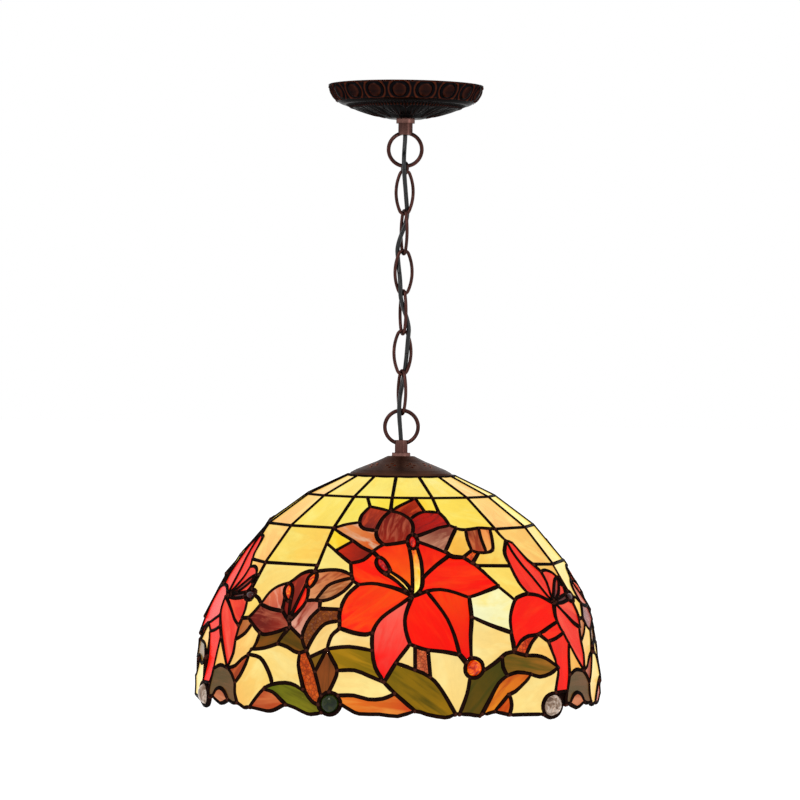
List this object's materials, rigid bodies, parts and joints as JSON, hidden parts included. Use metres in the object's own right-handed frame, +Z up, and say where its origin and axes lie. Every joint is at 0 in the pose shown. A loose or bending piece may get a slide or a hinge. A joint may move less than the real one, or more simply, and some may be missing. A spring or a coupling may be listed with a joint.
{
  "type": "stained glass pendant lamp",
  "caption": "Leaded glass dome pendant lamp with flower and leaf panes and a scalloped rim, hung by a chain with a woven cable from an ornamented ceiling canopy.",
  "frame": {"origin": "centre of the crossbar's upper face, on the ceiling plane and on the lamp's axis", "axes": "+Z up into the ceiling, -Y to the front, where the large red lily faces, +X to the right"},
  "size_m": [0.4033, 0.4034, 0.6183],
  "materials": {
    "bronze": "satin",
    "cap_bronze": "satin",
    "chain_bronze": "satin",
    "zinc_steel": "brushed",
    "brass": "satin",
    "cord": "matte",
    "lead": "satin",
    "card": "matte",
    "porcelain": "gloss",
    "connector_plastic": "matte",
    "wire_cover": "matte",
    "tin_solder": "satin",
    "bulb_glass": "frosted",
    "yellow_glass": "gloss",
    "cream_glass": "gloss",
    "brown_glass": "gloss",
    "peach_glass": "gloss",
    "red_glass": "gloss",
    "orange_glass": "gloss",
    "green_glass": "gloss",
    "amber_glass": "gloss",
    "jewel_glass": "gloss"
  },
  "bodies": {
    "ceiling": {"ceiling_crossbar": "zinc_steel", "ground_screw": "brass", "ceiling_nipple": "zinc_steel", "ceiling_locknut": "zinc_steel", "hickey": "zinc_steel", "canopy_nipple": "zinc_steel", "canopy_locknut": "zinc_steel", "canopy": "bronze", "canopy_loop": "bronze", "wire_connectors": "connector_plastic", "lead_wires": "wire_cover", "pendant_cable": "cord"},
    "jump_ring": {"jump_ring": "chain_bronze"},
    "link_1": {"chain_link_1": "chain_bronze"},
    "link_2": {"chain_link_2": "chain_bronze"},
    "link_3": {"chain_link_3": "chain_bronze"},
    "link_4": {"chain_link_4": "chain_bronze"},
    "link_5": {"chain_link_5": "chain_bronze"},
    "link_6": {"chain_link_6": "chain_bronze"},
    "shade": {"shade_loop": "bronze", "vase_cap": "cap_bronze", "shade_nipple": "zinc_steel", "cap_washer": "brass", "cap_nut": "brass", "shade_spider": "brass", "spider_nut": "brass", "socket_cap": "brass", "socket_shell": "brass", "socket_sleeve": "card", "socket_insulator": "porcelain", "terminal_screws": "brass", "screw_shell": "brass", "centre_contact": "brass", "bulb_contact": "tin_solder", "bulb_insulator": "porcelain", "bulb_base": "brass", "bulb_globe": "bulb_glass", "shade_lead": "lead", "glass_top_row": "yellow_glass", "glass_grid_panels": "yellow_glass", "glass_lower_background": "yellow_glass", "glass_cream_background": "cream_glass", "glass_brown_flower": "brown_glass", "glass_bud": "peach_glass", "glass_front_lily": "red_glass", "glass_stamens": "orange_glass", "glass_small_flower": "brown_glass", "glass_side_lily": "red_glass", "glass_leaves": "green_glass", "glass_stems": "orange_glass", "glass_amber_rim": "amber_glass", "glass_jewels": "jewel_glass"}
  },
  "joints": [
    {"name": "jump_ring_swing", "type": "hinge", "parent": "ceiling", "child": "jump_ring", "pos_m": [0, 0, -0.0806], "axis": [1, 0, 0], "range_deg": [-15, 15], "deforming": ["pendant_cable"]},
    {"name": "link_1_swing", "type": "hinge", "parent": "jump_ring", "child": "link_1", "pos_m": [0, 0, -0.08827], "axis": [0.5, -0.866, 0], "range_deg": [-15, 15], "deforming": ["pendant_cable"]},
    {"name": "link_2_swing", "type": "hinge", "parent": "link_1", "child": "link_2", "pos_m": [0, 0, -0.12844], "axis": [0.9903, 0.1392, 0], "range_deg": [-15, 15], "deforming": ["pendant_cable"]},
    {"name": "link_3_swing", "type": "hinge", "parent": "link_2", "child": "link_3", "pos_m": [0, 0, -0.16846], "axis": [-0.342, 0.9397, 0], "range_deg": [-15, 15], "deforming": ["pendant_cable"]},
    {"name": "link_4_swing", "type": "hinge", "parent": "link_3", "child": "link_4", "pos_m": [0, 0, -0.20848], "axis": [0.9903, 0.1392, 0], "range_deg": [-15, 15], "deforming": ["pendant_cable"]},
    {"name": "link_5_swing", "type": "hinge", "parent": "link_4", "child": "link_5", "pos_m": [0, 0, -0.2485], "axis": [-0.342, 0.9397, 0], "range_deg": [-15, 15], "deforming": ["pendant_cable"]},
    {"name": "link_6_swing", "type": "hinge", "parent": "link_5", "child": "link_6", "pos_m": [0, 0, -0.28852], "axis": [0.9903, 0.1392, 0], "range_deg": [-15, 15], "deforming": ["pendant_cable"]},
    {"name": "shade_swing", "type": "hinge", "parent": "link_6", "child": "shade", "pos_m": [0, 0, -0.32854], "axis": [-0.4384, 0.8988, 0], "range_deg": [-15, 15], "deforming": ["pendant_cable"]}
  ]
}
